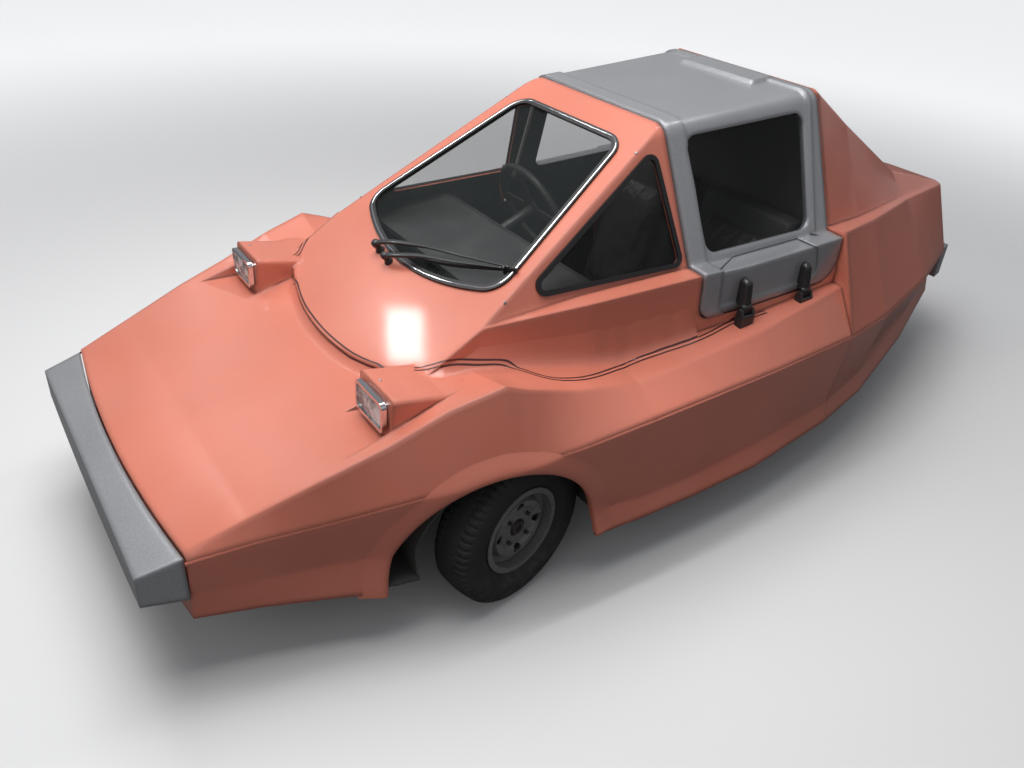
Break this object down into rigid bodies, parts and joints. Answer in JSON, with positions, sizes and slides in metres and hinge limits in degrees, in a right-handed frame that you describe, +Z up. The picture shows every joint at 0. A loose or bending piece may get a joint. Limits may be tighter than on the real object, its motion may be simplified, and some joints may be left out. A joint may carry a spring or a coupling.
{
  "type": "three wheeled car",
  "caption": "Wedge-shaped two-seat car with twin steered front wheels, one rear wheel, boat tail and a side-hinged canopy with tinted windows",
  "frame": {"origin": "middle of the overall box at floor level, under the tyres", "axes": "+X to the car's left, -Y towards the nose, +Z up"},
  "size_m": [1.544, 3.6849, 1.3038],
  "materials": {
    "body_paint": "salmon pink gloss paint on moulded resin",
    "canopy_paint": "silver grey paint, slightly satin",
    "tinted_glass": "dark tinted",
    "clear_glass": "clear",
    "lens_glass": "ribbed clear lens",
    "red_lens": "red lens",
    "rubber": "black",
    "tyre": "worn black",
    "chrome": "polished",
    "wheel_paint": "dull grey paint",
    "cast_iron": "rough",
    "black_paint": "black paint",
    "bright_steel": "plain steel",
    "spring_steel": "black springs",
    "alloy": "cast alloy",
    "black_plastic": "grained black",
    "floor_resin": "dark moulded resin",
    "seat_cover": "black vinyl"
  },
  "bodies": {
    "chassis": {"bulkhead": "floor_resin", "canopy_seal": "rubber", "dash": "black_plastic", "engine_block": "alloy", "exhaust": "bright_steel", "floor_pan": "floor_resin", "front_bumper": "canopy_paint", "front_dampers": "spring_steel", "front_subframe": "black_paint", "gear_lever": "black_plastic", "headlamp_bezels": "chrome", "headlamp_lenses": "lens_glass", "hinge_feet": "black_paint", "left_seat": "seat_cover", "lower_body": "body_paint", "quarter_seals": "rubber", "quarter_windows": "tinted_glass", "rear_bumper": "canopy_paint", "rear_dampers": "spring_steel", "rear_frame": "black_paint", "right_seat": "seat_cover", "steering_column": "black_paint", "steering_rack": "alloy", "swing_arm": "black_paint", "tail_lamps": "red_lens", "upper_body": "body_paint", "wheel_houses": "floor_resin", "windscreen": "clear_glass", "windscreen_seal": "rubber", "wiper": "black_paint", "wishbones": "black_paint"},
    "canopy": {"canopy": "canopy_paint", "canopy_windows": "tinted_glass", "hinge_straps": "black_paint"},
    "left_steer": {"left_knuckle": "cast_iron"},
    "right_steer": {"right_knuckle": "cast_iron"},
    "left_front_wheel": {"left_wheel": "wheel_paint", "left_tyre": "tyre", "left_hub": "cast_iron"},
    "right_front_wheel": {"right_wheel": "wheel_paint", "right_tyre": "tyre", "right_hub": "cast_iron"},
    "back_wheel": {"rear_wheel": "wheel_paint", "rear_tyre": "tyre", "rear_hub": "cast_iron"},
    "steering_wheel": {"steering_wheel": "black_plastic"},
    "track_rods": {"track_rods": "bright_steel"}
  },
  "joints": [
    {"name": "canopy_hinge", "type": "hinge", "parent": "chassis", "child": "canopy", "pos_m": [0.6, 0.196, 0.708], "axis": [0, 1, 0], "range_deg": [0, 80]},
    {"name": "left_steering", "type": "hinge", "parent": "chassis", "child": "left_steer", "pos_m": [0.545, -0.8575, 0.245], "axis": [0, 0, 1], "range_deg": [-37, 13]},
    {"name": "right_steering", "type": "hinge", "parent": "chassis", "child": "right_steer", "pos_m": [-0.545, -0.8575, 0.245], "axis": [0, 0, 1], "range_deg": [-37, 13]},
    {"name": "steering_wheel_turn", "type": "hinge", "parent": "chassis", "child": "steering_wheel", "pos_m": [-0.27, -0.1675, 0.78], "axis": [0, 0.9135, 0.4067], "range_deg": [-445, 157]},
    {"name": "track_rod_slide", "type": "slide", "parent": "chassis", "child": "track_rods", "axis": [1, 0, 0], "range_m": [-0.025, 0.07]},
    {"name": "left_front_spin", "type": "hinge", "parent": "left_steer", "child": "left_front_wheel", "pos_m": [0.63303, -0.83879, 0.245], "axis": [0.9781, 0.2079, 0], "continuous": true},
    {"name": "right_front_spin", "type": "hinge", "parent": "right_steer", "child": "right_front_wheel", "pos_m": [-0.63303, -0.87621, 0.245], "axis": [0.9781, 0.2079, 0], "continuous": true},
    {"name": "rear_spin", "type": "hinge", "parent": "chassis", "child": "back_wheel", "pos_m": [0, 1.2225, 0.245], "axis": [1, 0, 0], "continuous": true}
  ],
  "couplings": [
    {"joint": "right_steering", "follows": "left_steering", "ratio": 1},
    {"joint": "steering_wheel_turn", "follows": "left_steering", "ratio": 12},
    {"joint": "track_rod_slide", "follows": "left_steering", "m_per_rad": -0.105}
  ]
}
